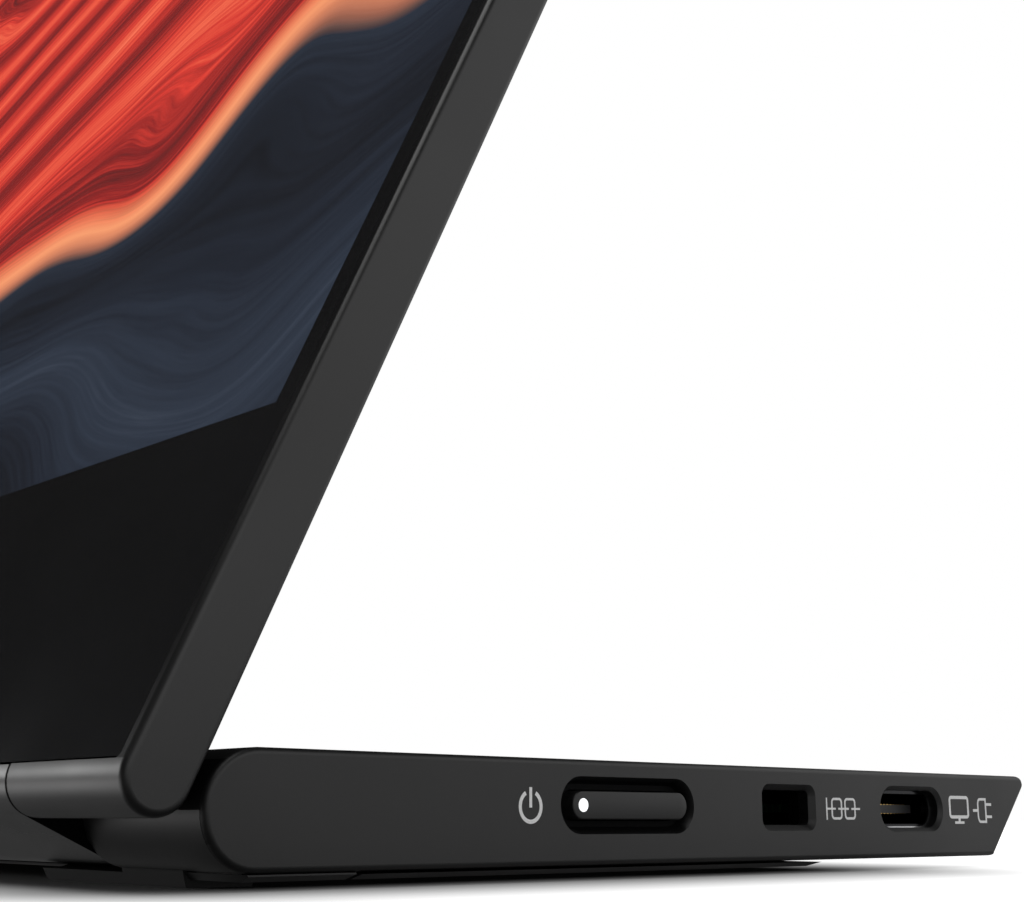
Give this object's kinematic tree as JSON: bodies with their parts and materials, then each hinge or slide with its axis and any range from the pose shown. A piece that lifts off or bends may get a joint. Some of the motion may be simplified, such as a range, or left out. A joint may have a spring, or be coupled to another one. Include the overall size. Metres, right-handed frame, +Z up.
{
  "type": "portable monitor",
  "caption": "Thin portable monitor on a shallow folding base: friction hinge, fold-out lift foot, side button, rocker, lock slot and reversible ports.",
  "frame": {"origin": "middle of the bounding box at the desk surface, under the rubber feet, with the screen at its resting tilt", "axes": "+X to the right of someone facing the screen, +Y towards the rear of the base, +Z up"},
  "size_m": [0.3166, 0.0946, 0.1901],
  "materials": {
    "shell_black": "satin",
    "cover_black": "satin",
    "screen_black": "satin",
    "arm_black": "satin",
    "leg_black": "satin",
    "button_black": "satin",
    "switch_black": "matte",
    "circuit_board": "satin",
    "tin_plate": "satin",
    "port_steel": "polished",
    "port_insulator": "satin",
    "contact_gold": "polished",
    "cable_black": "satin",
    "bare_steel": "satin",
    "screw_steel": "satin",
    "shaft_steel": "polished",
    "foot_rubber": "matte",
    "front_glass": "gloss",
    "panel_glass": "satin",
    "light_guide": "satin",
    "foam_tape": "matte",
    "ribbon_amber": "satin",
    "light_white": "gloss"
  },
  "bodies": {
    "base": {"base_top_shell": "shell_black", "base_bottom_cover": "cover_black", "main_board": "circuit_board", "shield_can": "tin_plate", "button_board_right": "circuit_board", "button_board_left": "circuit_board", "button_switches": "switch_black", "port_shell_right": "port_steel", "port_shell_left": "port_steel", "port_tongue_right": "port_insulator", "port_tongue_left": "port_insulator", "port_contacts_right": "contact_gold", "port_contacts_left": "contact_gold", "cable_in_base": "cable_black", "lock_plate": "bare_steel", "base_weight": "bare_steel", "hinge_bracket_right": "bare_steel", "hinge_bracket_left": "bare_steel", "bracket_screws": "screw_steel", "cover_screws": "screw_steel", "front_feet": "foot_rubber", "rear_feet": "foot_rubber"},
    "screen": {"screen_housing": "screen_black", "front_glass": "front_glass", "lcd_panel": "panel_glass", "backlight": "light_guide", "panel_tape": "foam_tape", "driver_board": "circuit_board", "panel_ribbons": "ribbon_amber", "screen_bumpers": "foot_rubber", "hinge_arm_right": "arm_black", "hinge_arm_left": "arm_black", "hinge_shaft_right": "shaft_steel", "hinge_shaft_left": "shaft_steel", "arm_screws": "screw_steel", "cable_in_screen": "cable_black"},
    "power_button": {"power_button": "button_black", "power_light": "light_white"},
    "brightness_rocker": {"brightness_rocker": "button_black"},
    "comfort_button": {"comfort_button": "button_black"},
    "lift_foot": {"lift_foot": "leg_black", "lift_foot_nose": "foot_rubber", "lift_foot_pins": "shaft_steel"}
  },
  "joints": [
    {"name": "screen_tilt", "type": "hinge", "parent": "base", "child": "screen", "pos_m": [0, -0.03846, 0.0046], "axis": [1, 0, 0], "range_deg": [-65, 30]},
    {"name": "power_press", "type": "slide", "parent": "base", "child": "power_button", "axis": [-1, 0, 0], "range_m": [0, 0.0004], "stiffness_N_per_m": 1500, "springref_m": -0.0002},
    {"name": "brightness_rock", "type": "hinge", "parent": "base", "child": "brightness_rocker", "pos_m": [-0.156, -0.00946, 0.00508], "axis": [0, 0, 1], "range_deg": [-1.8, 1.8], "stiffness_Nm_per_rad": 0.2},
    {"name": "comfort_press", "type": "slide", "parent": "base", "child": "comfort_button", "axis": [1, 0, 0], "range_m": [0, 0.0004], "stiffness_N_per_m": 1500, "springref_m": -0.0002},
    {"name": "lift_foot_fold", "type": "hinge", "parent": "base", "child": "lift_foot", "pos_m": [0, -0.03207, 0.0013], "axis": [-1, 0, 0], "range_deg": [0, 90]}
  ]
}
